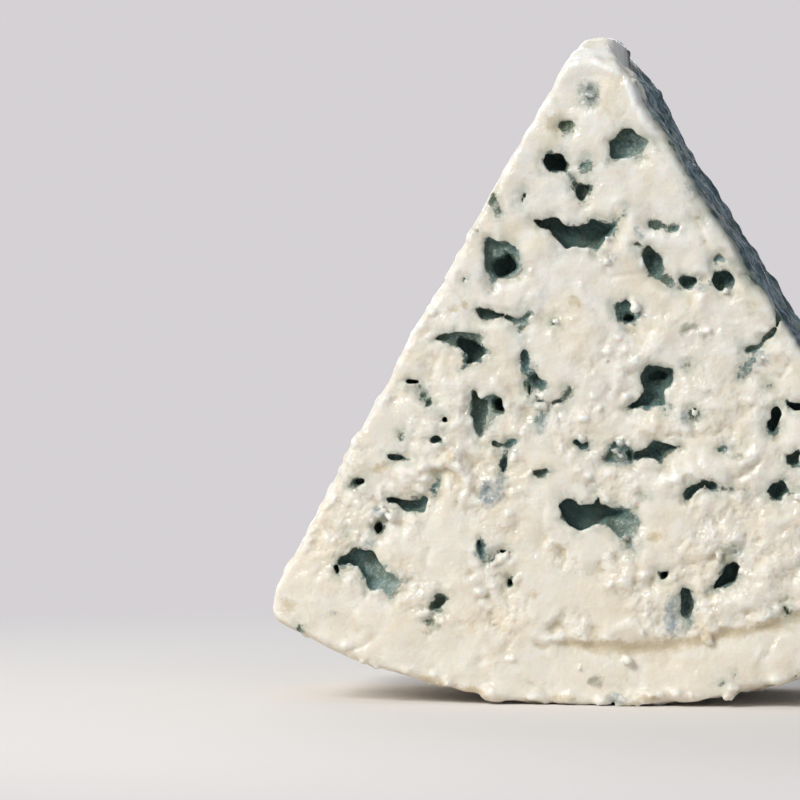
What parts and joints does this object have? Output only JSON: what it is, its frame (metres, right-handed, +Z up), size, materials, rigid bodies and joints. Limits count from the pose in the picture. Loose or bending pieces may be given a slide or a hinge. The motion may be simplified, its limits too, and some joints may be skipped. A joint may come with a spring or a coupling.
{
  "type": "cheese wedge",
  "caption": "Sector-shaped wedge of crumbly blue-veined cheese, standing on its curved rim with its blunt point up.",
  "frame": {"origin": "middle of the small flat foot that the rim has settled to, on the surface the wedge stands on", "axes": "+Z up from the foot to the point, -Y out of the front cut face, +X to the right seen from the front"},
  "size_m": [0.0971, 0.038, 0.0944],
  "materials": {
    "paste": "moist ivory cheese paste with blue-green mould in its cavities"
  },
  "bodies": {
    "root": {"cheese_wedge": "paste"}
  },
  "joints": []
}
